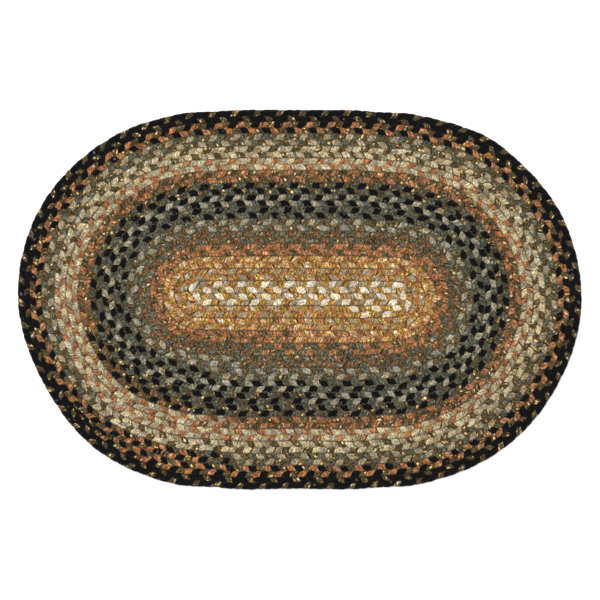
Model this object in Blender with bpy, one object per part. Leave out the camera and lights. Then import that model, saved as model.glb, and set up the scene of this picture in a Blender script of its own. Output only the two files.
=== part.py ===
"""Braided oval rug: one long braid coiled into an oval, with a braided ring sewn round it.

Metres, +Z up. The rug lies flat on Z = 0 with its longest side along X. Its rows follow a spiral
round two centres, wound outward and clockwise as seen from above.

A place on the rug is given by its row and its station. The row counts the rounds outward from the
middle, and runs on from one round into the next. The station runs from 0 to 4 in each round: 0 to 1
is the straight run on the -Y side, 1 to 2 the -X end, 2 to 3 the straight run on the +Y side, and
3 to 4 the +X end.
"""

import math

import bmesh
import bpy

# Driving dimensions
ROW_PITCH = 0.0163          # from the middle of one row to the middle of the next
HALF_RUN = 0.1323           # from the rug's middle to each of the spiral's two centres
THICKNESS = 0.0095          # from the floor to the crown of a row
SEAM_HEIGHT = 0.0062        # from the floor to the bottom of the groove between two rows
PIECE_GAP = 0.0003          # between the coil and the ring round it
CROWN_ROUNDING = 2.6        # exponent of a row's crown, where 2 is a parabola

# The coil's last row thins out against the ring, which drops inward by one row there.
RING_FIRST_ROW = 15         # the ring's row where it passes outside the coil's last row
RING_DROP_START = 1.04      # station where the ring begins to drop inward
RING_DROP_END = 1.36        # station where it has dropped by one row
COIL_LAST_ROUND = 14
COIL_END_STATION = 1.30     # station where the coil's tail is tucked in

# The rug was laid and sewn by hand, so its rows drift from the true oval.
FULL_DRIFT_ROWS = 15        # rows from the middle at which the whole drift is reached
DRIFT = (
    # station, millimetres by which the rug's edge lies outside the true oval
    (0.00, 0.5),
    (0.25, 4.0),
    (0.50, 3.2),
    (0.75, 4.1),
    (1.00, 0.2),
    (1.10, -3.6),
    (1.20, -1.7),
    (1.35, -2.9),
    (1.50, -0.4),
    (1.60, -0.7),
    (1.80, -3.4),
    (1.92, -2.8),
    (2.00, 0.5),
    (2.25, 3.3),
    (2.75, 3.3),
    (3.00, -0.4),
    (3.08, -3.0),
    (3.17, -0.2),
    (3.25, -1.8),
    (3.35, -0.1),
    (3.50, -0.3),
    (3.67, -4.0),
    (3.90, -3.0),
    (4.00, 0.5),
)

# How finely the curves are stepped
RUN_STEPS = 6
END_STEPS = 28

# A row's points across its width, from its inner seam to its outer one
ACROSS = (-0.5, -0.3, 0.0, 0.3, 0.5)

# The outer side of the ring, from below its crown down to the floor
RIM = (
    # rows outward from the middle of the ring, share of the thickness
    (0.44, 0.72),
    (0.50, 0.46),
    (0.46, 0.20),
    (0.36, 0.00),
)

# Looks
COIL_COLOUR = (0.23, 0.17, 0.10, 1.0)
RING_COLOUR = (0.020, 0.020, 0.024, 1.0)
CLOTH_ROUGHNESS = 0.92

MERGE_DISTANCE = 0.000001


def smooth_step(share):
    """Ease from 0 to 1, level at both ends."""
    share = min(max(share, 0.0), 1.0)
    return share * share * (3 - 2 * share)


def edge_drift(station):
    """Distance by which the rug's edge lies outside the true oval at a station."""
    for (start, before), (end, after) in zip(DRIFT, DRIFT[1:]):
        if station <= end:
            return (before + (after - before) * smooth_step((station - start) / (end - start))) / 1000
    return DRIFT[-1][1] / 1000


def drift(row, station):
    """Drift of a row: none in the middle, and nearly the whole of it half-way out."""
    rows_out = row + 0.25 * station - 0.25
    inward = 1 - min(max(rows_out / FULL_DRIFT_ROWS, 0.0), 1.0)
    return edge_drift(station) * (1 - inward ** 3)


def lay(row, station):
    """X and Y of a place on the rug."""
    out = drift(row, station)
    if station <= 1:
        return HALF_RUN * (1 - 2 * station), -(row + 0.25) * ROW_PITCH - out
    if 2 <= station <= 3:
        return HALF_RUN * (2 * station - 5), (row + 0.75) * ROW_PITCH + out
    if station < 2:
        side = -1
        radius = max(row + 0.5, 0.0) * ROW_PITCH + out
        turned = math.pi * (station - 1)
    else:
        side = 1
        radius = max(row + 1.0, 0.0) * ROW_PITCH + out
        turned = math.pi * (station - 3)
    x = side * (HALF_RUN + radius * math.sin(turned))
    y = side * (radius * math.cos(turned) - ROW_PITCH / 4)
    return x, y


def round_stations():
    """The stations stepped through in one round."""
    stations = []
    for start, steps in ((0, RUN_STEPS), (1, END_STEPS), (2, RUN_STEPS), (3, END_STEPS)):
        stations += [start + step / steps for step in range(steps)]
    return stations


def ring_row(station):
    """Row of the ring's middle: it drops inward by one where the coil's last row ends."""
    drop = smooth_step((station - RING_DROP_START) / (RING_DROP_END - RING_DROP_START))
    return RING_FIRST_ROW - drop


def crown_height(across):
    """Height of a row's top, across running from -0.5 to 0.5 over its width."""
    fall = abs(2 * across) ** CROWN_ROUNDING
    return THICKNESS - (THICKNESS - SEAM_HEIGHT) * fall


def last_round(station):
    """The coil's outermost round at a station."""
    return COIL_LAST_ROUND if station <= COIL_END_STATION else COIL_LAST_ROUND - 1


def coil_section(turn, station, inner_half=True):
    """Points across one row of the coil, from its inner seam to its outer one."""
    inner = turn - 0.5
    outer = turn + 0.5
    if turn == last_round(station):
        outer = ring_row(station) - 0.5 - PIECE_GAP / ROW_PITCH
    width = outer - inner
    points = []
    for across in ACROSS:
        if not inner_half:
            across = max(across, 0.0)
        x, y = lay(inner + (across + 0.5) * width, station)
        crown = crown_height(across) - SEAM_HEIGHT
        points.append((x, y, SEAM_HEIGHT + crown * math.sqrt(min(width, 1.0))))
    return points


def ring_section(station):
    """Points round the ring's section, from the foot of its inner side and back to it."""
    row = ring_row(station)
    outline = [(ACROSS[0], 0.0)]
    outline += [(across, crown_height(across)) for across in ACROSS[:-1]]
    outline += [(out, share * THICKNESS) for out, share in RIM]
    outline.append(outline[0])
    return [(*lay(row + out, station), height) for out, height in outline]


def add_band(bm, sections):
    """Lay a grid over a list of sections, each with the same number of points."""
    along = len(sections) - 1
    across = len(sections[0]) - 1
    grid = bmesh.ops.create_grid(bm, x_segments=along, y_segments=across, size=1)
    for vert in grid["verts"]:
        section = sections[round((vert.co.x + 1) / 2 * along)]
        vert.co = section[round((vert.co.y + 1) / 2 * across)]


def close_underneath(bm):
    """Take the rim of the open sheet straight down to the floor and close it with a flat face."""
    rim = [edge for edge in bm.edges if edge.is_boundary]
    wall = bmesh.ops.extrude_edge_only(bm, edges=rim)["geom"]
    for vert in wall:
        if isinstance(vert, bmesh.types.BMVert):
            vert.co.z = 0.0
    foot = [edge for edge in wall if isinstance(edge, bmesh.types.BMEdge) and edge.is_boundary]
    bmesh.ops.contextual_create(bm, geom=foot)


def cloth(name, colour):
    """Material of the braided strips, in one colour for the whole piece."""
    material = bpy.data.materials.new(name)
    material.use_nodes = True
    shader = material.node_tree.nodes["Principled BSDF"]
    shader.inputs["Base Color"].default_value = colour
    shader.inputs["Roughness"].default_value = CLOTH_ROUGHNESS
    shader.inputs["Metallic"].default_value = 0.0
    material.diffuse_color = colour
    return material


def new_object(name, bm, material, collection):
    """Turn a closed bmesh into a smooth-shaded object."""
    bmesh.ops.recalc_face_normals(bm, faces=bm.faces)
    mesh = bpy.data.meshes.new(name)
    bm.to_mesh(mesh)
    bm.free()
    for polygon in mesh.polygons:
        polygon.use_smooth = abs(polygon.normal.z) < 0.999
    mesh.materials.append(material)
    piece = bpy.data.objects.new(name, mesh)
    collection.objects.link(piece)
    return piece


def make_coil(collection):
    """The coiled braid: rounded where it starts in the middle, and thin where its tail ends."""
    stations = round_stations()
    start = [station for station in stations if station >= 3] + [4]
    places = [(turn, station) for turn in range(COIL_LAST_ROUND) for station in stations]
    places += [(COIL_LAST_ROUND, station) for station in stations if station <= COIL_END_STATION]
    bm = bmesh.new()
    add_band(bm, [coil_section(-1, station, inner_half=False) for station in start])
    add_band(bm, [coil_section(turn, station) for turn, station in places])
    bmesh.ops.remove_doubles(bm, verts=bm.verts, dist=MERGE_DISTANCE)
    close_underneath(bm)
    return new_object("coiled_braid", bm, cloth("coil_cloth", COIL_COLOUR), collection)


def make_ring(collection):
    """The border: a closed ring of the same braid, plain and dark."""
    bm = bmesh.new()
    add_band(bm, [ring_section(station) for station in round_stations() + [4]])
    bmesh.ops.remove_doubles(bm, verts=bm.verts, dist=MERGE_DISTANCE)
    return new_object("border_braid", bm, cloth("border_cloth", RING_COLOUR), collection)


def main():
    for old in list(bpy.data.objects):
        bpy.data.objects.remove(old, do_unlink=True)
    collection = bpy.data.collections.new("braided_rug")
    bpy.context.scene.collection.children.link(collection)
    ring = make_ring(collection)
    coil = make_coil(collection)
    xs = [vert.co.x for vert in ring.data.vertices]
    ys = [vert.co.y for vert in ring.data.vertices]
    for piece in (ring, coil):
        piece.location = (-(min(xs) + max(xs)) / 2, -(min(ys) + max(ys)) / 2, 0.0)


main()
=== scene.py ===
"""Looks of the braided rug: every strip of its plaited braids, and the thread that sews the rows.

Metres, +Z up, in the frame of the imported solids. The rug lies flat on Z = 0. Both braids follow the
rows of their solids, each as three strips that pass over and under each other.

A place on the rug is given by its row and its station, as in the solids' source. A place along a
braid is given by its lap: four stations to each round, counted from the coil's first straight run.
"""

import math

import bpy
import numpy as np
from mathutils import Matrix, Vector
from mathutils.bvhtree import BVHTree


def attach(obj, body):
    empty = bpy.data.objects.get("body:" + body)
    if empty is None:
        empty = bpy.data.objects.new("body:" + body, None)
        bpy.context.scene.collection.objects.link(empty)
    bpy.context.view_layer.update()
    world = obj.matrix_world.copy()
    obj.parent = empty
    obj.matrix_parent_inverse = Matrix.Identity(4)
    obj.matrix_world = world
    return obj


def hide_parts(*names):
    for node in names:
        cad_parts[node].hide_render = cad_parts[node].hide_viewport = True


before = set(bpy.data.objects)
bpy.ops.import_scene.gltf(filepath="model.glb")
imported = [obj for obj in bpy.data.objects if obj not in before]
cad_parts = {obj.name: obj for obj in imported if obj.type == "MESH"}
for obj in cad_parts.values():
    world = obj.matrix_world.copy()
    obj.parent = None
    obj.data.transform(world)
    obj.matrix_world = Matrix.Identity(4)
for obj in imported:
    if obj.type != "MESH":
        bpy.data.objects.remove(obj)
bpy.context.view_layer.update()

# ---------------------------------------------------------------------------------------------
# Layout of the rows, the same as in the solids
# ---------------------------------------------------------------------------------------------

ROW_PITCH = 0.0163
HALF_RUN = 0.1323
THICKNESS = 0.0095
STATIONS_A_ROUND = 4

RING_FIRST_ROW = 15
RING_DROP_START = 1.04
RING_DROP_END = 1.36
COIL_LAST_ROUND = 14

FULL_DRIFT_ROWS = 15
DRIFT = np.array((
    # station, millimetres by which the rug's edge lies outside the true oval
    (0.00, 0.5),
    (0.25, 4.0),
    (0.50, 3.2),
    (0.75, 4.1),
    (1.00, 0.2),
    (1.10, -3.6),
    (1.20, -1.7),
    (1.35, -2.9),
    (1.50, -0.4),
    (1.60, -0.7),
    (1.80, -3.4),
    (1.92, -2.8),
    (2.00, 0.5),
    (2.25, 3.3),
    (2.75, 3.3),
    (3.00, -0.4),
    (3.08, -3.0),
    (3.17, -0.2),
    (3.25, -1.8),
    (3.35, -0.1),
    (3.50, -0.3),
    (3.67, -4.0),
    (3.90, -3.0),
    (4.00, 0.5),
))

# ---------------------------------------------------------------------------------------------
# The braids
# ---------------------------------------------------------------------------------------------

COIL_START_LAP = -0.060
COIL_END_LAP = 57.285
START_RADIUS = 0.5          # rows: the coil's start is rounded within half a row
START_NARROWING = 0.5       # share of that rounding that the start's end reaches
TAIL_PRESS = 0.12           # rows by which the tail is pressed inward, from one station to the next
TAIL_PRESS_START = 1.02
TAIL_PRESS_END = 1.14
TAIL_COVER_START = 1.25     # stations over which the row inside the tail comes up to the ring
TAIL_COVER_END = 1.34
RING_TUCK = 0.085           # rows by which the ring's outer edge is drawn in
LAP_STEP = 0.002
ROUND_END_GAP = 0.000001
LINE_POINTS = 4001          # on a line that runs once round the rug

STRANDS = ("A", "B", "C")
PLAIT_LENGTH = 0.0305       # length of braid in which each strip goes across and back
STEPS_A_PLAIT = 18
SIDES = 10

# A strip's path. Across the braid and through its thickness it goes round a figure of eight.
SWING = 0.442               # rows to each side
SLOW_CROSSING = 0.55        # how much less it runs along the braid where it lies on top
LIFT = 0.0023               # to each side of the braid's middle plane

# A strip's section, as folded
STRIP_WIDTH = 0.0112        # measured along the braid, as it lies slantwise
MOST_STRETCH = 1.4          # how much wider it spreads, at most, on the outside of a tight bend
STRIP_DEPTH = 0.0046
BOXINESS = 0.66             # 1 is an ellipse, and less is fuller at the corners
JOIN_SHRINK = 0.85          # size of a strip's end where the next cloth is joined on
TAIL_FLATTENING = 0.6       # exponents by which strips are thinner and shorter in a narrow braid
TAIL_SHORTENING = 0.25

# Unevenness of hand plaiting, as shares but for the lift's
WIDTH_SPREAD = 0.05
DEPTH_SPREAD = 0.05
SWING_SPREAD = 0.04
STEP_SPREAD = 0.05
LIFT_SPREAD = 0.0002        # metres

# Plaits counted from the coil's start to the middle of each of its long sides
LOWER_SIDE_STATION = 0.5
UPPER_SIDE_STATION = 2.5
PLAIT_COUNTS = (
    # round, plaits to the middle of its lower side, and of its upper side
    (0, 0.7, 9.8),
    (1, 20.7, 32.0),
    (2, 44.2, 57.2),
    (3, 71.2, 85.7),
    (4, 101.1, 117.7),
    (5, 134.8, 152.8),
    (6, 171.4, 190.9),
    (7, 211.2, 232.5),
    (8, 254.5, 277.6),
    (9, 301.1, 325.8),
    (10, 351.0, 377.4),
    (11, 404.4, 432.5),
    (12, 461.0, 490.5),
    (13, 520.7, 551.6),
    (14, 583.4, 615.6),
)
RING_PLAITS = 67
RING_LOBE_STATION = 1.469   # strip B of the ring lies over its inner side here
RING_SLIP = np.array((
    # station, plaits by which the ring's plaits lie further on than evenly spaced
    (0.0, 0.0),
    (0.9, -0.05),
    (1.2, -0.13),
    (1.6, -0.13),
    (1.9, -0.03),
    (2.9, -0.03),
    (3.2, 0.18),
    (3.8, 0.12),
    (4.0, 0.0),
))
INNER_LOBE = 0.375          # share of a plait from a strip's outermost place to its inner lobe

# Where each strip of the coil changes cloth
CLOTH_CHANGES = {
    "A": (
        # round, station, cloth from there on
        (0, -1.000, "white"),
        (1, 0.234, "rust"),
        (4, 0.687, "burgundy_print"),
        (5, 0.789, "light_tan"),
        (6, 0.952, "black"),
        (9, 1.389, "orange"),
        (11, 1.543, "flowered_olive"),
    ),
    "B": (
        (0, -1.000, "tan"),
        (0, 3.602, "gold"),
        (3, 0.127, "orange"),
        (4, 0.153, "teal"),
        (7, 0.372, "light_tan"),
        (8, 0.433, "gold_flecked_olive"),
        (10, 0.779, "taupe"),
        (13, 0.840, "black"),
    ),
    "C": (
        (0, -1.000, "gold"),
        (1, 0.382, "tan"),
        (2, 0.484, "peach_print"),
        (3, 0.535, "dark_olive_print"),
        (6, 0.952, "grey_green"),
        (9, 1.018, "rust_print"),
        (10, 1.009, "cream"),
        (12, 1.234, "sage_grey"),
        (13, 1.001, "orange"),
        (14, 1.190, "black"),
    ),
}
RING_CLOTHS = {"A": "black", "B": "gold_flecked_olive", "C": "black"}

# How much bulkier than the others a strip is
COIL_BULK = {"white": 1.08, "black": 1.08}
RING_BULK = {"black": 1.04, "gold_flecked_olive": 0.86}


def smooth_step(share):
    """Ease from 0 to 1, level at both ends."""
    share = np.clip(share, 0.0, 1.0)
    return share * share * (3 - 2 * share)


def edge_drift(station):
    """Distance by which the rug's edge lies outside the true oval at a station."""
    stops, amounts = DRIFT[:, 0], DRIFT[:, 1] / 1000
    after = np.clip(np.searchsorted(stops, station), 1, len(stops) - 1)
    share = (station - stops[after - 1]) / (stops[after] - stops[after - 1])
    return amounts[after - 1] + (amounts[after] - amounts[after - 1]) * smooth_step(share)


def lay(row, station):
    """X and Y of places on the rug, before it is centred."""
    rows_out = row + 0.25 * station - 0.25
    inward = 1 - np.clip(rows_out / FULL_DRIFT_ROWS, 0.0, 1.0)
    out = edge_drift(station) * (1 - inward ** 3)
    left = (station > 1) & (station < 2)
    side = np.where(left, -1.0, 1.0)
    radius = np.maximum(row + np.where(left, 0.5, 1.0), 0.0) * ROW_PITCH + out
    turned = math.pi * (station - np.where(left, 1.0, 3.0))
    x = side * (HALF_RUN + radius * np.sin(turned))
    y = side * (radius * np.cos(turned) - ROW_PITCH / 4)
    below = station <= 1
    x = np.where(below, HALF_RUN * (1 - 2 * station), x)
    y = np.where(below, -(row + 0.25) * ROW_PITCH - out, y)
    above = (station >= 2) & (station <= 3)
    x = np.where(above, HALF_RUN * (2 * station - 5), x)
    y = np.where(above, (row + 0.75) * ROW_PITCH + out, y)
    return np.stack([x, y], -1)


def ring_row(station):
    """Row of the ring's middle: it drops inward by one where the coil's last row ends."""
    drop = smooth_step((station - RING_DROP_START) / (RING_DROP_END - RING_DROP_START))
    return RING_FIRST_ROW - drop


def rug_middle():
    """Middle of the rug's outline, which the solids are centred on."""
    stations = np.linspace(0, STATIONS_A_ROUND, LINE_POINTS)
    rim = lay(ring_row(stations) + 0.5, stations)
    return (rim.min(0) + rim.max(0)) / 2


MIDDLE = rug_middle()


def split_lap(lap):
    """Round and station of a lap. The coil's start lies a little before its first round."""
    turn = np.maximum(np.floor(lap / STATIONS_A_ROUND), 0)
    return turn, lap - STATIONS_A_ROUND * turn


class Course:
    """The line that a braid follows, with its inner and outer edge in rows from its own round."""

    def __init__(self, laps, inner, outer):
        turn, station = split_lap(laps)
        self.laps, self.inner, self.outer = laps, inner - turn, outer - turn
        self.lengths = run_of(lay((inner + outer) / 2, station))
        self.length = self.lengths[-1]

    def length_at(self, lap):
        return np.interp(lap, self.laps, self.lengths)

    def edges(self, length):
        inner = np.interp(length, self.lengths, self.inner)
        outer = np.interp(length, self.lengths, self.outer)
        return inner, outer

    def place(self, length, across):
        """X and Y of points, given by length along the braid and place across, -0.5 to 0.5."""
        inner, outer = self.edges(length)
        turn, station = split_lap(np.interp(length, self.lengths, self.laps))
        row = turn + (inner + outer) / 2 + across * (outer - inner)
        return lay(row, station) - MIDDLE


def run_of(points):
    """Length along a line of points, at each of them."""
    steps = np.linalg.norm(np.diff(points, axis=0), axis=1)
    return np.concatenate([[0.0], np.cumsum(steps)])


def coil_course():
    """The coil's line. Its last rounds make room for the tail, which thins out under the ring."""
    laps = np.arange(COIL_START_LAP, COIL_END_LAP, LAP_STEP)
    turn, station = split_lap(laps)
    inner = turn - 0.5
    outer = turn + 0.5
    ring_inner = ring_row(station) - 0.5
    press = smooth_step((station - TAIL_PRESS_START) / (TAIL_PRESS_END - TAIL_PRESS_START))
    cover = smooth_step((station - TAIL_COVER_START) / (TAIL_COVER_END - TAIL_COVER_START))
    seam = (COIL_LAST_ROUND - 0.5 - TAIL_PRESS * press) * (1 - cover) + ring_inner * cover
    outer = np.where(turn == COIL_LAST_ROUND - 1, seam, outer)
    inner = np.where(turn == COIL_LAST_ROUND, seam, inner)
    outer = np.where(turn == COIL_LAST_ROUND, ring_inner, outer)
    before = np.clip(-laps * 2 * HALF_RUN / (START_RADIUS * ROW_PITCH), 0.0, START_NARROWING)
    middle = (inner + outer) / 2
    half = (outer - inner) / 2 * np.sqrt(1 - before ** 2)
    return Course(laps, middle - half, middle + half)


def ring_course():
    """The closed ring's line. It stops just short of the next round, which is one row further out."""
    laps = np.linspace(0, STATIONS_A_ROUND - ROUND_END_GAP, LINE_POINTS)
    row = ring_row(laps)
    return Course(laps, row - 0.5, row + 0.5 - RING_TUCK)


def coil_plaits(course):
    """Plait count at each point of the coil's line, from the table of counts."""
    places = []
    for turn, lower, upper in PLAIT_COUNTS:
        places.append((STATIONS_A_ROUND * turn + LOWER_SIDE_STATION, lower))
        places.append((STATIONS_A_ROUND * turn + UPPER_SIDE_STATION, upper))
    laps, counts = np.array(sorted(places)).T
    kept = laps < COIL_END_LAP
    lengths, counts = course.length_at(laps[kept]), counts[kept]
    first = counts[0] - lengths[0] / PLAIT_LENGTH
    last = counts[-1] + (course.length - lengths[-1]) / PLAIT_LENGTH
    lengths = np.concatenate([[0.0], lengths, [course.length]])
    counts = np.concatenate([[first], counts, [last]])
    return np.interp(course.lengths, lengths, counts)


def ring_plaits(course):
    """Plait count at each point of the ring's line."""
    a_plait = course.length / RING_PLAITS
    even = (course.lengths - course.length_at(RING_LOBE_STATION)) / a_plait + 1 / len(STRANDS)
    return even - np.interp(course.laps, RING_SLIP[:, 0], RING_SLIP[:, 1])


# ---------------------------------------------------------------------------------------------
# The strips
# ---------------------------------------------------------------------------------------------

SECTION_ANGLES = np.arange(SIDES) * 2 * math.pi / SIDES
UNIT_CIRCLE = np.column_stack([np.cos(SECTION_ANGLES), np.sin(SECTION_ANGLES)])
UPRIGHT = np.array([0.0, 0.0, 1.0])
KNOTS_A_PLAIT = 2
LOOK_AHEAD = 0.0005
HIDDEN = 0.9                # sine of twice a strip's phase, from where on it lies well underneath

# How the faces of a cloth's strips are laid open on a square
SQUARE_SPARE = 1.2          # area of the rows' square, over that of the strips
SQUARE_MARGIN = 1.002
ROW_SPACING = 1.06          # in girths of a strip
ENDS_SHELF = 0.5            # height left for the strips' ends, in girths
END_SIZE = 0.15             # radius of an end, in girths
END_CROWDING = 0.4          # most of its share of the shelf that an end's radius takes up
END_PATTERN = STRIP_DEPTH / 4   # radius over which the cloth's pattern is laid on an end


def unit(vectors):
    return vectors / np.linalg.norm(vectors, axis=-1, keepdims=True)


def section_side(share):
    """Points of a strip's section along one axis, fuller at the corners than an ellipse."""
    return np.sign(share) * np.abs(share) ** BOXINESS


SECTION_ACROSS = section_side(np.cos(SECTION_ANGLES))
SECTION_UP = section_side(np.sin(SECTION_ANGLES))


def section_lengths():
    """Lengths round a strip's section, from one side edge to the same edge again."""
    x = np.append(SECTION_ACROSS, SECTION_ACROSS[0]) * STRIP_WIDTH / 2
    y = np.append(SECTION_UP, SECTION_UP[0]) * STRIP_DEPTH / 2
    return run_of(np.column_stack([x, y]))


ROUND_LENGTHS = section_lengths()
GIRTH = ROUND_LENGTHS[-1]


def uneven(rng, plaits, closed):
    """Smooth random values from -1 to 1, along a strip."""
    at = (plaits - plaits.min()) * KNOTS_A_PLAIT
    values = rng.uniform(-1, 1, int(at.max()) + 3)
    before = np.floor(at).astype(int)
    after = before + 1
    if closed:
        after = after % (RING_PLAITS * KNOTS_A_PLAIT)
    return values[before] + (values[after] - values[before]) * smooth_step(at - before)


class Strand:
    """One strip's middle line and section all along a braid."""

    def __init__(self, course, plaits_of_line, index, rng, closed=False):
        first, last = plaits_of_line[0], plaits_of_line[-1]
        count = int(round((last - first) * STEPS_A_PLAIT))
        plaits = np.linspace(first, last, count + 1)
        if closed:
            plaits = plaits[:-1]
        step = STEP_SPREAD * uneven(rng, plaits, closed)
        phase = 2 * math.pi * (plaits - index / len(STRANDS) + INNER_LOBE + step)
        at = plaits + SLOW_CROSSING / 4 * np.sin(4 * phase) / (2 * math.pi)
        if closed:
            at = first + (at - first) % (last - first)
        length = np.interp(at, plaits_of_line, course.lengths)

        swing = SWING * (1 + SWING_SPREAD * uneven(rng, plaits, closed))
        inner, outer = course.edges(length)
        narrow = np.minimum(outer - inner, 1.0)
        flatter = narrow ** TAIL_FLATTENING
        lift = flatter * (LIFT + LIFT_SPREAD * uneven(rng, plaits, closed))
        height = THICKNESS / 2 - lift * np.sin(2 * phase)
        across = swing * np.cos(phase)
        self.centre = np.column_stack([course.place(length, across), height])

        ahead = course.place(length + LOOK_AHEAD, across) - course.place(length - LOOK_AHEAD, across)
        self.side = unit(np.column_stack([ahead, np.zeros(len(ahead))]))
        outward = -swing * (outer - inner) * ROW_PITCH * np.sin(phase)
        upward = -2 * lift * np.cos(2 * phase)
        left = np.cross(UPRIGHT, self.side)
        self.face = unit(outward[:, None] * UPRIGHT - upward[:, None] * left)

        stretch = np.clip(np.linalg.norm(ahead, axis=1) / (2 * LOOK_AHEAD), 1.0, MOST_STRETCH)
        width = STRIP_WIDTH * stretch * narrow ** TAIL_SHORTENING
        self.half_width = width / 2 * (1 + WIDTH_SPREAD * uneven(rng, plaits, closed))
        self.half_depth = STRIP_DEPTH / 2 * flatter * (1 + DEPTH_SPREAD * uneven(rng, plaits, closed))
        self.hidden = np.sin(2 * phase) > HIDDEN
        self.lap = np.interp(length, course.lengths, course.laps)
        self.run = run_of(self.centre)


class StripMesh:
    """Tubes of one cloth, gathered for one mesh."""

    def __init__(self):
        self.points, self.quads, self.uvs = [], [], []
        self.caps = []
        self.count = 0
        self.length = 0.0
        self.width = 0.0

    def add(self, strand, start, end, bulk):
        """Add the part of a strand between two of its rings. A whole loop joins up with itself."""
        rings = np.arange(start, end + 1)
        at = rings % len(strand.centre)
        loop = end - start == len(strand.centre)
        scale = np.full((len(rings), 1, 1), bulk)
        if not loop:
            scale[0] = scale[-1] = JOIN_SHRINK * bulk
        wide = strand.half_width[at][:, None, None] * scale
        deep = strand.half_depth[at][:, None, None] * scale
        across = SECTION_ACROSS[None, :, None] * wide * strand.side[at][:, None, :]
        upward = SECTION_UP[None, :, None] * deep * strand.face[at][:, None, :]
        points = strand.centre[at][:, None, :] + across + upward
        kept = len(rings) - 1 if loop else len(rings)
        self.points.append(points[:kept].reshape(-1, 3))

        ring = np.arange(len(rings) - 1)[:, None]
        side = np.arange(SIDES)[None, :]
        beside = (side + 1) % SIDES
        here = ring * SIDES
        there = (ring + 1) % kept * SIDES
        corners = (here + side, here + beside, there + beside, there + side)
        self.quads.append(np.stack(corners, -1).reshape(-1, 4) + self.count)

        run = strand.run[at]
        if loop:
            run[-1] = run[-2] + run[1] - run[0]
        shape = (len(rings) - 1, SIDES)
        behind = np.broadcast_to(run[:-1, None], shape)
        beyond = np.broadcast_to(run[1:, None], shape)
        near = np.broadcast_to(ROUND_LENGTHS[None, :-1], shape)
        far = np.broadcast_to(ROUND_LENGTHS[None, 1:], shape)
        places = ((behind, near), (behind, far), (beyond, far), (beyond, near))
        uv = np.stack([np.stack(place, -1) for place in places], -2)
        self.uvs.append(uv.reshape(-1, 4, 2))
        if not loop:
            self.caps.append(np.arange(SIDES)[::-1] + self.count)
            self.caps.append(np.arange(SIDES) + self.count + (kept - 1) * SIDES)
        self.count += kept * SIDES
        self.length += run[-1] - run[0]
        self.width = max(SHEET_WIDTH * bulk, NARROWEST_SHEET)

    def laid_open(self):
        """Where the faces lie on the cloth's own square: rows of strip laid open, then the ends."""
        row_length = math.sqrt(self.length * GIRTH * SQUARE_SPARE)
        row_height = GIRTH * ROW_SPACING
        placed = []
        row = 0
        for uv in self.uvs:
            along = uv[..., 0] - uv[0, 0, 0]
            number = np.floor(along[:, 0] / row_length).astype(int)
            starts = np.full(number.max() + 1, np.inf)
            np.minimum.at(starts, number, along[:, 0])
            across = uv[..., 1] + (row + number)[:, None] * row_height
            placed.append(np.stack([along - starts[number][:, None], across], -1).reshape(-1, 2))
            row += number.max() + 1
        placed = np.concatenate(placed)
        side = max(placed[:, 0].max() * SQUARE_MARGIN, row * row_height + GIRTH * ENDS_SHELF)
        room = side / (len(self.caps) + 1)
        size = min(GIRTH * END_SIZE, room * END_CROWDING)
        height = side - GIRTH * ENDS_SHELF / 2
        middles = [np.array([(number + 1) * room, height]) for number in range(len(self.caps))]
        return np.concatenate([placed] + [middle + UNIT_CIRCLE * size for middle in middles]) / side

    def strip_places(self):
        """Lengths along and round the strip at the faces' corners, for the cloth's patterns."""
        uv = np.concatenate(self.uvs).reshape(-1, 2)
        return np.concatenate([uv] + [UNIT_CIRCLE * END_PATTERN] * len(self.caps))


def new_mesh(name, points, quads, caps, material):
    """Make an object from arrays of points, four-sided faces and end faces."""
    mesh = bpy.data.meshes.new(name)
    loops = np.concatenate([quads.ravel()] + caps)
    sizes = [4] * len(quads) + [len(cap) for cap in caps]
    starts = np.concatenate([[0], np.cumsum(sizes)[:-1]])
    mesh.vertices.add(len(points))
    mesh.vertices.foreach_set("co", points.astype(np.float32).ravel())
    mesh.loops.add(len(loops))
    mesh.loops.foreach_set("vertex_index", loops.astype(np.int32))
    mesh.polygons.add(len(sizes))
    mesh.polygons.foreach_set("loop_start", starts.astype(np.int32))
    mesh.polygons.foreach_set("use_smooth", np.ones(len(sizes), bool))
    mesh.update(calc_edges=True)
    mesh.materials.append(material)
    piece = bpy.data.objects.new(name, mesh)
    bpy.context.scene.collection.objects.link(piece)
    return piece


def new_strips(name, parts, material):
    """Make the object of one cloth's strips."""
    points, quads = np.concatenate(parts.points), np.concatenate(parts.quads)
    piece = new_mesh(name, points, quads, parts.caps, material)
    for layer_name, places in (("strip", parts.strip_places()), ("OFBake", parts.laid_open())):
        layer = piece.data.uv_layers.new(name=layer_name)
        layer.data.foreach_set("uv", places.astype(np.float32).ravel())
    return piece


def ring_at(strand, lap):
    """The strand's ring nearest to a lap, where it lies underneath."""
    return int(np.argmin(np.abs(strand.lap - lap) + np.where(strand.hidden, 0.0, 1.0)))


def coil_strips(strands):
    """The coil's strips, gathered by cloth."""
    cloths = {}
    for letter, strand in zip(STRANDS, strands):
        changes = CLOTH_CHANGES[letter]
        laps = [STATIONS_A_ROUND * turn + station for turn, station, cloth in changes]
        places = [ring_at(strand, lap) for lap in laps]
        places.append(len(strand.centre) - 2)
        for number, (turn, station, cloth) in enumerate(changes):
            start, end = places[number], places[number + 1] + 1
            cloths.setdefault(cloth, StripMesh()).add(strand, start, end, COIL_BULK.get(cloth, 1.0))
    return cloths


def ring_strips(strands):
    """The ring's strips, gathered by cloth."""
    cloths = {}
    for letter, strand in zip(STRANDS, strands):
        cloth = RING_CLOTHS[letter]
        cloths.setdefault(cloth, StripMesh()).add(strand, 0, len(strand.centre), RING_BULK[cloth])
    return cloths


# ---------------------------------------------------------------------------------------------
# The thread that sews the rows together
# ---------------------------------------------------------------------------------------------

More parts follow.
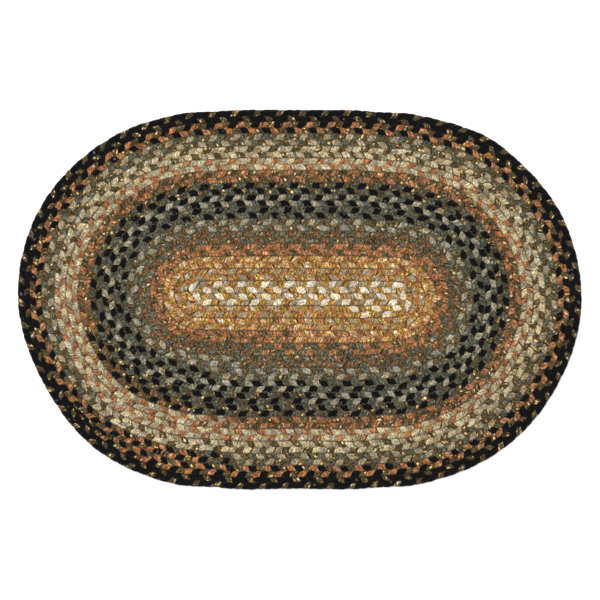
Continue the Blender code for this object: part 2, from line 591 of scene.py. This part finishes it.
STITCH_LENGTH = 0.0029      # of seam, for one straight of the zigzag
STITCH_HALF_WIDTH = 0.0012
STITCH_SPREAD = 0.10
THREAD_RADIUS = 0.00021
THREAD_SIDES = 3
THREAD_SINK = 0.00004
DROP_REACH = 0.03


def stitch_points(course, first_lap, last_lap, rng):
    """X and Y along a braid's outer edge: the zigzag's corners, and a point between each two."""
    laps = np.arange(first_lap, last_lap, LAP_STEP)
    outer = np.interp(laps, course.laps, course.outer)
    turn, station = split_lap(laps)
    lengths = run_of(lay(turn + outer, station))
    count = int(lengths[-1] / STITCH_LENGTH)
    at = (np.arange(count) + STITCH_SPREAD * rng.uniform(-1, 1, count)) * STITCH_LENGTH
    half = STITCH_HALF_WIDTH / ROW_PITCH * (1 + STITCH_SPREAD * rng.uniform(-1, 1, count))
    side = np.where(np.arange(count) % 2 == 0, 1.0, -1.0)
    turn, station = split_lap(np.interp(at, lengths, laps))
    row = turn + np.interp(at, lengths, outer) + side * half
    corners = lay(row, station) - MIDDLE
    points = np.empty((2 * count - 1, 2))
    points[::2] = corners
    points[1::2] = (corners[1:] + corners[:-1]) / 2
    return points


def drape(points, surface, upward):
    """Lay the thread on the strips: its corners are pulled in, and it bridges the seam."""
    sign = 1.0 if upward else -1.0
    start = THICKNESS / 2 + sign * DROP_REACH
    down = Vector((0, 0, -sign))
    heights = np.empty(len(points))
    for number, (x, y) in enumerate(points):
        hit = surface.ray_cast(Vector((x, y, start)), down, DROP_REACH)[0]
        heights[number] = hit.z if hit else THICKNESS / 2
    heights[::2] -= sign * THREAD_SINK
    bridge = (heights[2::2] + heights[:-1:2]) / 2
    on_cloth = heights[1::2] + sign * THREAD_RADIUS
    heights[1::2] = np.maximum(bridge, on_cloth) if upward else np.minimum(bridge, on_cloth)
    return np.column_stack([points, heights])


def new_thread(name, lines, material):
    """Make one object of the stitches along several seams."""
    points, quads = [], []
    count = 0
    angles = np.arange(THREAD_SIDES)[None, :, None] * 2 * math.pi / THREAD_SIDES + math.pi / 2
    for line in lines:
        ahead = unit(np.gradient(line, axis=0))
        left = unit(np.cross(UPRIGHT, ahead))
        up = np.cross(ahead, left)
        ring = np.cos(angles) * left[:, None, :] + np.sin(angles) * up[:, None, :]
        points.append((line[:, None, :] + ring * THREAD_RADIUS).reshape(-1, 3))
        step = np.arange(len(line) - 1)[:, None] * THREAD_SIDES
        side = np.arange(THREAD_SIDES)[None, :]
        beside = (side + 1) % THREAD_SIDES
        ahead_step = step + THREAD_SIDES
        corners = (step + side, step + beside, ahead_step + beside, ahead_step + side)
        quads.append(np.stack(corners, -1).reshape(-1, 4) + count)
        count += len(line) * THREAD_SIDES
    return new_mesh(name, np.concatenate(points), np.concatenate(quads), [], material)


def surface_of(gathered):
    """A tree of every strip's faces, to lay the thread on."""
    points, polygons, count = [], [], 0
    for parts in gathered:
        found = np.concatenate(parts.points)
        points += found.tolist()
        polygons += (np.concatenate(parts.quads) + count).tolist()
        count += len(found)
    return BVHTree.FromPolygons(points, polygons)


# ---------------------------------------------------------------------------------------------
# Materials
# ---------------------------------------------------------------------------------------------

# Painted shade: factors on the cloth's colour down in its folds
SHALLOW_FOLD_SHADE = (0.72, 0.70, 0.60, 1.0)
FOLD_SHADE = (0.48, 0.46, 0.36, 1.0)
DEEP_FOLD_SHADE = (0.36, 0.34, 0.25, 1.0)

CLOTHS = {
    # cloth: sRGB of its ground and of its mottling, and each printed fleck's sRGB and share
    "white": dict(ground=(231, 220, 190), mottle=(202, 188, 154), fold_shade=SHALLOW_FOLD_SHADE),
    "tan": dict(
        ground=(183, 163, 123), mottle=(118, 100, 64), flecks=(((208, 192, 156), 0.12),), fold_shade=SHALLOW_FOLD_SHADE
    ),
    "gold": dict(
        ground=(203, 159, 81), mottle=(106, 75, 25), flecks=(((230, 200, 128), 0.14),),
        fold_shade=DEEP_FOLD_SHADE, veined=True,
    ),
    "rust": dict(
        ground=(197, 139, 85), mottle=(104, 63, 34), flecks=(((212, 166, 118), 0.14),),
        fold_shade=DEEP_FOLD_SHADE, veined=True,
    ),
    "peach_print": dict(
        ground=(230, 197, 133), mottle=(140, 94, 44), flecks=(((246, 232, 198), 0.19),),
        fold_shade=DEEP_FOLD_SHADE, veined=True,
    ),
    "dark_olive_print": dict(
        ground=(126, 108, 70),
        mottle=(30, 26, 16),
        flecks=(((224, 194, 124), 0.17), ((160, 104, 62), 0.14)),
    ),
    "orange": dict(
        ground=(192, 136, 86), mottle=(104, 64, 36), flecks=(((214, 164, 116), 0.14),),
        fold_shade=DEEP_FOLD_SHADE, veined=True,
    ),
    "teal": dict(ground=(122, 121, 94), mottle=(36, 32, 23), flecks=(((146, 140, 112), 0.18),)),
    "burgundy_print": dict(
        ground=(152, 117, 73),
        mottle=(48, 34, 24),
        flecks=(((198, 140, 88), 0.18), ((124, 60, 48), 0.16)),
        fold_shade=DEEP_FOLD_SHADE, veined=True,
    ),
    "light_tan": dict(
        ground=(177, 171, 141), mottle=(106, 98, 73), flecks=(((104, 86, 58), 0.12),), fold_shade=SHALLOW_FOLD_SHADE
    ),
    "grey_green": dict(
        ground=(109, 111, 88), mottle=(38, 36, 27), flecks=(((142, 138, 110), 0.16),)
    ),
    "black": dict(ground=(19, 17, 19), mottle=(9, 9, 9), flecks=(((92, 86, 82), 0.04),)),
    "gold_flecked_olive": dict(
        ground=(106, 92, 61),
        mottle=(42, 36, 24),
        flecks=(((238, 208, 138), 0.17), ((178, 150, 92), 0.16)),
    ),
    "rust_print": dict(
        ground=(140, 108, 69),
        mottle=(56, 42, 26),
        flecks=(((178, 128, 80), 0.18), ((204, 168, 108), 0.07)),
        fold_shade=DEEP_FOLD_SHADE, veined=True,
    ),
    "taupe": dict(
        ground=(173, 159, 122), mottle=(122, 110, 81), flecks=(((200, 184, 150), 0.12),), fold_shade=SHALLOW_FOLD_SHADE
    ),
    "cream": dict(
        ground=(207, 196, 152), mottle=(158, 147, 105), flecks=(((112, 94, 62), 0.08),), fold_shade=SHALLOW_FOLD_SHADE
    ),
    "flowered_olive": dict(
        ground=(118, 101, 62),
        mottle=(31, 27, 16),
        flecks=(((236, 206, 136), 0.22), ((90, 58, 36), 0.15)),
    ),
    "sage_grey": dict(ground=(114, 114, 87), mottle=(40, 39, 29), flecks=(((128, 122, 94), 0.14),)),
}
CLOTH_SHIFT = (0.137, 0.311)          # metres by which each cloth's pattern lies beside the last one's
FLECK_SIZE = 0.0045
FLECK_SHIFT = (0.5, 0.2)              # metres, along the cloth for each further fleck, and across it
FLECK_COVER = 0.5                     # share of its cell that a fleck covers
FLECK_EDGE = (0.70, 0.86)             # of a cell's distance, from full colour to none
RAGGED_SCALE = 560.0
RAGGEDNESS = 0.9
BLOTCH_SCALE = (380.0, 380.0, 1.0)    # to a metre, along the strip and across it
VEIN_SCALE = (190.0, 430.0, 1.0)
FOLD_SCALE = (150.0, 400.0, 1.0)
GRAIN_SCALE = 500.0
TINT_SCALE = 120.0
WEAR_SCALE = 70.0

# Values of each pattern, between which the look goes over from one state to the other
BLOTCH_RANGE = (0.36, 0.64)
FOLD_RANGE = (0.36, 0.50)
GRAIN_RANGE = (0.34, 0.66)
DYE_RANGE = (0.36, 0.64)
WEAR_RANGE = (0.3, 0.7)
RUBBED_AND_HIGHLIT_RANGE = (0.40, 0.60)
EDGE_RANGE = (-0.1, 0.6)              # cosine of twice the angle round from a folded edge
CREASE_RANGE = (0.36, 0.83)           # openness of the cloth, from down in a crease to its crown

# Factors on the cloth's colour
WARM_TINT = (1.10, 0.97, 0.78, 1.0)   # of uneven dye
COOL_TINT = (0.90, 1.02, 1.24, 1.0)
FACE_TINT = (0.87, 0.86, 0.92, 1.0)   # between the folds
PALE_GRAIN = (1.44, 1.48, 1.74, 1.0)
DARK_GRAIN = (0.55, 0.51, 0.36, 1.0)

THREAD_PITCH = 0.0008       # of the cloth's weave
CREASE_REACH = 0.0026       # how far from a crease the cloth is darkened, as painted shade
CREASE_SAMPLES = 6
CREASE_SHADE = 0.14
WARMER_GREEN = 1.12         # exponents by which green and blue fall faster than red in the painted crease shade
WARMER_BLUE = 1.50
WEAR_SHADES = (0.76, 1.26)  # factors on the cloth's colour, from soiled to faded
EDGE_WEAR_AND_HIGHLIGHT = 1.45            # how much paler the cloth is along its folded edges: rubbed wear, and a painted highlight
WEAVE_HEIGHT = 0.12         # against that of the folds
FOLD_BUMP = 0.9
FOLD_HEIGHT = 0.0016        # metres
CLOTH_ROUGHNESS = (0.84, 0.98)
SHEEN = 0.03
SHEEN_ROUGHNESS = 0.5
CLOTH_SPECULAR = 0.06
COIL_THREAD_COLOUR = (154, 146, 124)
RING_THREAD_COLOUR = (22, 21, 24)
THREAD_SHADOW = 0.7         # factor on the thread's colour between its fibres
FIBRE_SCALE = 1800.0
FIBRE_RANGE = (0.2, 0.8)
THREAD_ROUGHNESS = (0.6, 0.8)
FIBRE_BUMP = 0.5
FIBRE_HEIGHT = 0.0001
FLOOR_COLOUR = (250, 250, 250)
FLOOR_UNEVENNESS = 2        # of 255
FLOOR_GRAIN_SCALE = 6.0
FLOOR_ROUGHNESS = 0.9


def linear(colour):
    """Linear colour of an sRGB one."""
    share = np.array(colour, float) / 255
    low = share / 12.92
    high = ((share + 0.055) / 1.055) ** 2.4
    return (*np.where(share <= 0.04045, low, high).tolist(), 1.0)


class Nodes:
    """Short ways to add and join the nodes of a material."""

    def __init__(self, name):
        self.material = bpy.data.materials.new(name)
        self.material.use_nodes = True
        self.tree = self.material.node_tree
        self.shader = self.tree.nodes["Principled BSDF"]

    def add(self, kind, values=None, **settings):
        node = self.tree.nodes.new(kind)
        for key, value in settings.items():
            setattr(node, key, value)
        for key, value in (values or {}).items():
            if hasattr(value, "is_linked"):
                self.tree.links.new(value, node.inputs[key])
            else:
                node.inputs[key].default_value = value
        return node

    def shade(self, socket, value):
        """Give the shader a patterned value, or one that is the same all over."""
        if hasattr(value, "is_linked"):
            self.tree.links.new(value, self.shader.inputs[socket])
        else:
            self.shader.inputs[socket].default_value = value

    def math(self, operation, first, second=0.0):
        node = self.add("ShaderNodeMath", {0: first, 1: second}, operation=operation)
        return node.outputs[0]

    def mix(self, share, first, second, blend="MIX"):
        values = {"Factor": share, 6: first, 7: second}
        node = self.add("ShaderNodeMix", values, data_type="RGBA", blend_type=blend)
        return node.outputs[2]

    def noise(self, vector, scale, detail=2.0, roughness=0.5):
        values = {"Vector": vector, "Scale": scale, "Detail": detail, "Roughness": roughness}
        return self.add("ShaderNodeTexNoise", values).outputs["Fac"]

    def spread(self, value, low, high, to_low=0.0, to_high=1.0):
        values = {"Value": value, "From Min": low, "From Max": high, "To Min": to_low, "To Max": to_high}
        return self.add("ShaderNodeMapRange", values).outputs["Result"]

    def placed(self, vector, scale=(1.0, 1.0, 1.0), shift=(0.0, 0.0, 0.0)):
        values = {"Vector": vector, "Scale": scale, "Location": shift}
        return self.add("ShaderNodeMapping", values).outputs["Vector"]

    def grey(self, value):
        return self.add("ShaderNodeCombineColor", {0: value, 1: value, 2: value}).outputs[0]

    def warm_shade(self, value):
        """A grey that turns warmer as it gets darker."""
        green = self.math("POWER", value, WARMER_GREEN)
        blue = self.math("POWER", value, WARMER_BLUE)
        return self.add("ShaderNodeCombineColor", {0: value, 1: green, 2: blue}).outputs[0]

    def bump(self, height, strength, distance):
        values = {"Strength": strength, "Distance": distance, "Height": height}
        self.shade("Normal", self.add("ShaderNodeBump", values).outputs["Normal"])


def weave_height(nodes, strip):
    """Plain weave of a cotton cloth, cut on its straight grain."""
    turns = 2 * math.pi / THREAD_PITCH
    split = nodes.add("ShaderNodeSeparateXYZ", {"Vector": strip})
    along = nodes.math("SINE", nodes.math("MULTIPLY", split.outputs["X"], turns))
    across = nodes.math("SINE", nodes.math("MULTIPLY", split.outputs["Y"], turns))
    return nodes.math("MULTIPLY", along, across)


def edge_of_strip(nodes, uv):
    """1 along a strip's two folded edges, and 0 on its faces."""
    place = nodes.add("ShaderNodeSeparateXYZ", {"Vector": uv}).outputs["Y"]
    nearness = nodes.math("COSINE", nodes.math("MULTIPLY", place, 4 * math.pi / GIRTH))
    return nodes.spread(nearness, *EDGE_RANGE)


def print_flecks(nodes, strip, order, colour, fleck, share):
    """Scatter one printed fleck over the cloth, with a ragged edge."""
    spots = nodes.placed(strip, shift=(FLECK_SHIFT[0] * order, FLECK_SHIFT[1], 0.0))
    cells = nodes.add("ShaderNodeTexVoronoi", {"Vector": spots, "Scale": 1 / FLECK_SIZE})
    chance = nodes.add("ShaderNodeSeparateColor", {"Color": cells.outputs["Color"]}).outputs[0]
    chosen = nodes.math("LESS_THAN", chance, share / FLECK_COVER)
    ragged = nodes.math("MULTIPLY", nodes.noise(strip, RAGGED_SCALE), RAGGEDNESS)
    reach = nodes.math("ADD", cells.outputs["Distance"], ragged)
    blob = nodes.spread(reach, *FLECK_EDGE, 1.0, 0.0)
    return nodes.mix(nodes.math("MULTIPLY", chosen, blob), colour, linear(fleck))


def cloth_material(name, number, ground, mottle, flecks=(), fold_shade=FOLD_SHADE, veined=False):
    """Matte cotton: mottled ground, printed flecks, creases along the strip with painted shade in them,
    painted shade in the creases between strips, edges paler from rubbing and with a painted highlight, and
    its weave.
    """
    nodes = Nodes(name)
    uv = nodes.add("ShaderNodeUVMap", uv_map="strip").outputs["UV"]
    strip = nodes.placed(uv, shift=(CLOTH_SHIFT[0] * number, CLOTH_SHIFT[1] * number, 0.0))
    place = nodes.add("ShaderNodeTexCoord").outputs["Object"]

    stretch = VEIN_SCALE if veined else BLOTCH_SCALE
    blotch = nodes.spread(nodes.noise(nodes.placed(strip, stretch), 1.0, 3.0, 0.65), *BLOTCH_RANGE)
    colour = nodes.mix(blotch, linear(ground), linear(mottle))
    for order, (fleck, share) in enumerate(flecks):
        colour = print_flecks(nodes, strip, order, colour, fleck, share)

    folds = nodes.noise(nodes.placed(strip, FOLD_SCALE), 1.0, 3.0, 0.6)
    grain = nodes.noise(strip, GRAIN_SCALE, 1.0)
    dye = nodes.noise(strip, TINT_SCALE, 2.0)
    # painted shade down in the folds, then the cloth's own grain and uneven dye
    tints = (
        (nodes.spread(folds, *FOLD_RANGE), fold_shade, FACE_TINT),
        (nodes.spread(grain, *GRAIN_RANGE), DARK_GRAIN, PALE_GRAIN),
        (nodes.spread(dye, *DYE_RANGE), WARM_TINT, COOL_TINT),
    )
    for share, low, high in tints:
        colour = nodes.mix(1.0, colour, nodes.mix(share, low, high), "MULTIPLY")
    wear = nodes.noise(place, WEAR_SCALE, 1.0)
    shade = nodes.spread(wear, *WEAR_RANGE, *WEAR_SHADES)
    # paler along the folded edges: partly rubbed wear, partly a painted highlight
    rubbed_and_highlit = nodes.math("MULTIPLY", edge_of_strip(nodes, uv), nodes.spread(grain, *RUBBED_AND_HIGHLIT_RANGE))
    shade = nodes.math("MULTIPLY", shade, nodes.spread(rubbed_and_highlit, 0.0, 1.0, 1.0, EDGE_WEAR_AND_HIGHLIGHT))
    # painted shade: darker and warmer down in the creases between the strips, where they shut out the
    # light
    reach = {"Distance": CREASE_REACH}
    openness = nodes.add("ShaderNodeAmbientOcclusion", reach, samples=CREASE_SAMPLES)
    crease = nodes.spread(openness.outputs["AO"], *CREASE_RANGE, CREASE_SHADE, 1.0)
    colour = nodes.mix(1.0, colour, nodes.warm_shade(crease), "MULTIPLY")
    nodes.shade("Base Color", nodes.mix(1.0, colour, nodes.grey(shade), "MULTIPLY"))
    weave = nodes.math("MULTIPLY", weave_height(nodes, strip), WEAVE_HEIGHT)
    nodes.bump(nodes.math("ADD", weave, folds), FOLD_BUMP, FOLD_HEIGHT)
    nodes.shade("Roughness", nodes.spread(blotch, 0.0, 1.0, CLOTH_ROUGHNESS[1], CLOTH_ROUGHNESS[0]))
    nodes.shade("Sheen Weight", SHEEN)
    nodes.shade("Sheen Roughness", SHEEN_ROUGHNESS)
    nodes.shade("Specular IOR Level", CLOTH_SPECULAR)
    return nodes.material


def thread_material(name, colour):
    """Sewing thread."""
    nodes = Nodes(name)
    place = nodes.add("ShaderNodeTexCoord").outputs["Object"]
    fibre = nodes.noise(place, FIBRE_SCALE)
    shadow = [THREAD_SHADOW * part for part in colour]
    nodes.shade("Base Color", nodes.mix(fibre, linear(shadow), linear(colour)))
    nodes.shade("Roughness", nodes.spread(fibre, *FIBRE_RANGE, *THREAD_ROUGHNESS))
    nodes.bump(fibre, FIBRE_BUMP, FIBRE_HEIGHT)
    return nodes.material


def floor_material():
    """Plain pale floor."""
    nodes = Nodes("pale_floor")
    place = nodes.add("ShaderNodeTexCoord").outputs["Object"]
    grain = nodes.noise(place, FLOOR_GRAIN_SCALE)
    duller = [part - FLOOR_UNEVENNESS for part in FLOOR_COLOUR]
    nodes.shade("Base Color", nodes.mix(grain, linear(duller), linear(FLOOR_COLOUR)))
    nodes.shade("Roughness", FLOOR_ROUGHNESS)
    nodes.shade("Specular IOR Level", 0.0)
    return nodes.material


# ---------------------------------------------------------------------------------------------
# Floor, light and camera
# ---------------------------------------------------------------------------------------------

FLOOR_REACH = 6.0
FLOOR_DROP = 0.0003
WORLD_STRENGTH = 1.0
KEY_SIZE = 2.2
KEY_POWER = 80.0
KEY_COLOUR = (1.0, 0.99, 0.955)
KEY_PLACE = (-0.45, 0.6, 3.1)

CAMERA_HEIGHT = 4.0
FRAME_WIDTH = 0.8085        # width of the photo's frame at the rug's top
SENSOR = 36.0
CAMERA_OFFSET = (0.0005, -0.0005)


def add_floor():
    """A wide floor under the rug, as stage."""
    mesh = bpy.data.meshes.new("floor")
    square = ((-1, -1), (1, -1), (1, 1), (-1, 1))
    corners = [(x * FLOOR_REACH, y * FLOOR_REACH, -FLOOR_DROP) for x, y in square]
    mesh.from_pydata(corners, [], [(0, 1, 2, 3)])
    mesh.materials.append(floor_material())
    floor = bpy.data.objects.new("floor", mesh)
    bpy.context.scene.collection.objects.link(floor)


def add_light():
    """Soft light from all round, and a large lamp from the upper left."""
    world = bpy.data.worlds.new("studio")
    world.use_nodes = True
    background = world.node_tree.nodes["Background"]
    background.inputs["Color"].default_value = (1.0, 1.0, 1.0, 1.0)
    background.inputs["Strength"].default_value = WORLD_STRENGTH
    bpy.context.scene.world = world
    lamp = bpy.data.lights.new("soft_key", "AREA")
    lamp.shape = "DISK"
    lamp.size = KEY_SIZE
    lamp.energy = KEY_POWER
    lamp.color = KEY_COLOUR
    key = bpy.data.objects.new("soft_key", lamp)
    key.location = KEY_PLACE
    key.rotation_euler = (-Vector(KEY_PLACE)).to_track_quat("-Z", "Y").to_euler()
    bpy.context.scene.collection.objects.link(key)


def add_camera():
    """Camera looking straight down, as far off as makes the rug as large as in the photo."""
    data = bpy.data.cameras.new("camera")
    data.sensor_width = SENSOR
    data.lens = SENSOR * (CAMERA_HEIGHT - THICKNESS) / FRAME_WIDTH
    camera = bpy.data.objects.new("camera", data)
    camera.location = (*CAMERA_OFFSET, CAMERA_HEIGHT)
    bpy.context.scene.collection.objects.link(camera)
    bpy.context.scene.camera = camera


# ---------------------------------------------------------------------------------------------
# Putting it together
# ---------------------------------------------------------------------------------------------

SEED = 1407
SHEET_WIDTH = 0.011         # a strip's width as folded and laid flat
NARROWEST_SHEET = 0.010     # least width that is kept for a sheet
SEWING_START_LAP = 0.1
SEWING_END_GAP = 0.03
RING_SEAM_STATION = 1.30    # from here on the coil's last whole round lies against the ring


def add_piece(piece, node):
    """Hang a piece on the root body and hide the solid that it stands for."""
    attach(piece, "root")
    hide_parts(node)


def add_strips(prefix, cloths, materials, node):
    """Make one piece of each cloth's strips."""
    for cloth, parts in cloths.items():
        piece = new_strips(prefix + cloth, parts, materials[cloth])
        add_piece(piece, node)


def main():
    rng = np.random.default_rng(SEED)
    materials = {}
    for number, (cloth, looks) in enumerate(CLOTHS.items()):
        materials[cloth] = cloth_material(cloth, number, **looks)
    coil, ring = coil_course(), ring_course()
    coil_line, ring_line = coil_plaits(coil), ring_plaits(ring)
    indices = range(len(STRANDS))
    coil_cloths = coil_strips([Strand(coil, coil_line, index, rng) for index in indices])
    ring_cloths = ring_strips([Strand(ring, ring_line, index, rng, closed=True) for index in indices])
    add_strips("coil_strips_", coil_cloths, materials, "coiled_braid")
    add_strips("border_strips_", ring_cloths, materials, "border_braid")

    surface = surface_of([*coil_cloths.values(), *ring_cloths.values()])
    ring_seam_lap = STATIONS_A_ROUND * (COIL_LAST_ROUND - 1) + RING_SEAM_STATION
    coil_seams = [stitch_points(coil, SEWING_START_LAP, ring_seam_lap, rng)]
    ring_seams = [stitch_points(coil, ring_seam_lap, COIL_END_LAP - SEWING_END_GAP, rng)]
    coil_thread = thread_material("coil_thread", COIL_THREAD_COLOUR)
    ring_thread = thread_material("border_thread", RING_THREAD_COLOUR)
    for side, upward in (("top", True), ("underside", False)):
        coil_lines = [drape(points, surface, upward) for points in coil_seams]
        ring_lines = [drape(points, surface, upward) for points in ring_seams]
        coil_piece = new_thread("stitches_" + side, coil_lines, coil_thread)
        ring_piece = new_thread("border_stitches_" + side, ring_lines, ring_thread)
        add_piece(coil_piece, "coiled_braid")
        add_piece(ring_piece, "border_braid")

    add_floor()
    add_light()
    add_camera()
    bpy.context.scene.view_settings.view_transform = "Standard"


main()
